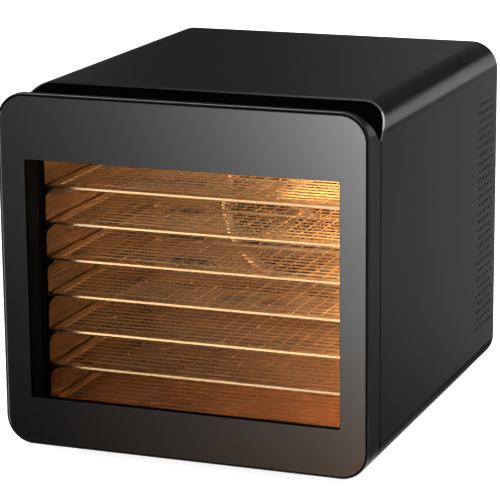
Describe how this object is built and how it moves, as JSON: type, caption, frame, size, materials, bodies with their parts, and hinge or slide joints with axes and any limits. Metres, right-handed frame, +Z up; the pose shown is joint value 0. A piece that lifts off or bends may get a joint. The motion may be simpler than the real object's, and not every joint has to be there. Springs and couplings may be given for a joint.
{
  "type": "food dehydrator",
  "caption": "Countertop food dehydrator: black rounded cabinet, drop-down glass door with a wide printed border, stacked mesh trays on side racks, rear fan and heater.",
  "frame": {"origin": "centre of the footprint, on the plane the feet stand on", "axes": "+X to the object's left as it faces you (right of the picture), -Y out of the front through the door, +Z up"},
  "size_m": [0.345, 0.4, 0.332],
  "materials": {
    "black_paint": "satin black powder coat",
    "black_plastic": "satin black",
    "mask_print": "gloss black",
    "smoked_glass": "clear, faintly smoked",
    "seal_rubber": "matt",
    "steel": "bright wire",
    "liner_steel": "brushed",
    "zinc_plate": "zinc plated",
    "rack_plastic": "moulded",
    "fan_alloy": "plain sheet",
    "heater_sheath": "heat darkened",
    "circuit_board": "solder mask",
    "lamp_lens": "warm frosted",
    "lamp_ceramic": "unglazed",
    "magnet": "sintered"
  },
  "bodies": {
    "cabinet": {"outer_shell": "black_paint", "rear_panel": "black_paint", "front_bezel": "black_plastic", "recess_panel": "black_plastic", "mains_inlet": "black_plastic", "thermal_cutout": "black_plastic", "touch_strip": "mask_print", "foot_front_left": "seal_rubber", "foot_front_right": "seal_rubber", "foot_rear_left": "seal_rubber", "foot_rear_right": "seal_rubber", "fan_guard": "steel", "temperature_probe": "steel", "liner_left": "liner_steel", "liner_right": "liner_steel", "liner_top": "liner_steel", "liner_floor": "liner_steel", "rear_baffle": "liner_steel", "base_plate": "zinc_plate", "chamber_back": "zinc_plate", "motor_bracket": "zinc_plate", "fan_motor": "zinc_plate", "hinge_arm_left": "zinc_plate", "hinge_arm_right": "zinc_plate", "inlet_pin_line": "zinc_plate", "inlet_pin_neutral": "zinc_plate", "inlet_pin_earth": "zinc_plate", "rear_screw_1": "zinc_plate", "rear_screw_2": "zinc_plate", "rear_screw_3": "zinc_plate", "rear_screw_4": "zinc_plate", "tray_rack_left": "rack_plastic", "tray_rack_right": "rack_plastic", "heating_element": "heater_sheath", "power_board": "circuit_board", "control_board": "circuit_board", "lamp_lens": "lamp_lens", "lamp_holder": "lamp_ceramic", "catch_magnet_left": "magnet", "catch_magnet_right": "magnet"},
    "door": {"door_frame": "black_plastic", "door_glass": "smoked_glass", "glass_mask": "mask_print", "door_seal": "seal_rubber", "hinge_pin_left": "steel", "hinge_pin_right": "steel", "strike_plate_left": "zinc_plate", "strike_plate_right": "zinc_plate"},
    "fan": {"fan_rotor": "fan_alloy", "motor_shaft": "steel"},
    "tray_1": {"tray_1": "steel"},
    "tray_2": {"tray_2": "steel"},
    "tray_3": {"tray_3": "steel"},
    "tray_4": {"tray_4": "steel"},
    "tray_5": {"tray_5": "steel"},
    "tray_6": {"tray_6": "steel"},
    "tray_7": {"tray_7": "steel"}
  },
  "joints": [
    {"name": "door_hinge", "type": "hinge", "parent": "cabinet", "child": "door", "pos_m": [0, -0.186, 0.016], "axis": [1, 0, 0], "range_deg": [0, 90]},
    {"name": "fan_spin", "type": "hinge", "parent": "cabinet", "child": "fan", "pos_m": [0, 0.111, 0.178], "axis": [0, 1, 0], "continuous": true},
    {"name": "tray_1_slide", "type": "slide", "parent": "cabinet", "child": "tray_1", "axis": [0, -1, 0], "range_m": [0, 0.2204]},
    {"name": "tray_2_slide", "type": "slide", "parent": "cabinet", "child": "tray_2", "axis": [0, -1, 0], "range_m": [0, 0.2126]},
    {"name": "tray_3_slide", "type": "slide", "parent": "cabinet", "child": "tray_3", "axis": [0, -1, 0], "range_m": [0, 0.2047]},
    {"name": "tray_4_slide", "type": "slide", "parent": "cabinet", "child": "tray_4", "axis": [0, -1, 0], "range_m": [0, 0.1859]},
    {"name": "tray_5_slide", "type": "slide", "parent": "cabinet", "child": "tray_5", "axis": [0, -1, 0], "range_m": [0, 0.145]},
    {"name": "tray_6_slide", "type": "slide", "parent": "cabinet", "child": "tray_6", "axis": [0, -1, 0], "range_m": [0, 0.0947]},
    {"name": "tray_7_slide", "type": "slide", "parent": "cabinet", "child": "tray_7", "axis": [0, -1, 0], "range_m": [0, 0.0461]}
  ],
  "couplings": [
    {"joint": "tray_1_slide", "follows": "door_hinge", "m_per_rad": 0.14},
    {"joint": "tray_2_slide", "follows": "door_hinge", "m_per_rad": 0.135},
    {"joint": "tray_3_slide", "follows": "door_hinge", "m_per_rad": 0.13},
    {"joint": "tray_4_slide", "follows": "door_hinge", "m_per_rad": 0.118},
    {"joint": "tray_5_slide", "follows": "door_hinge", "m_per_rad": 0.092},
    {"joint": "tray_6_slide", "follows": "door_hinge", "m_per_rad": 0.06},
    {"joint": "tray_7_slide", "follows": "door_hinge", "m_per_rad": 0.029}
  ]
}
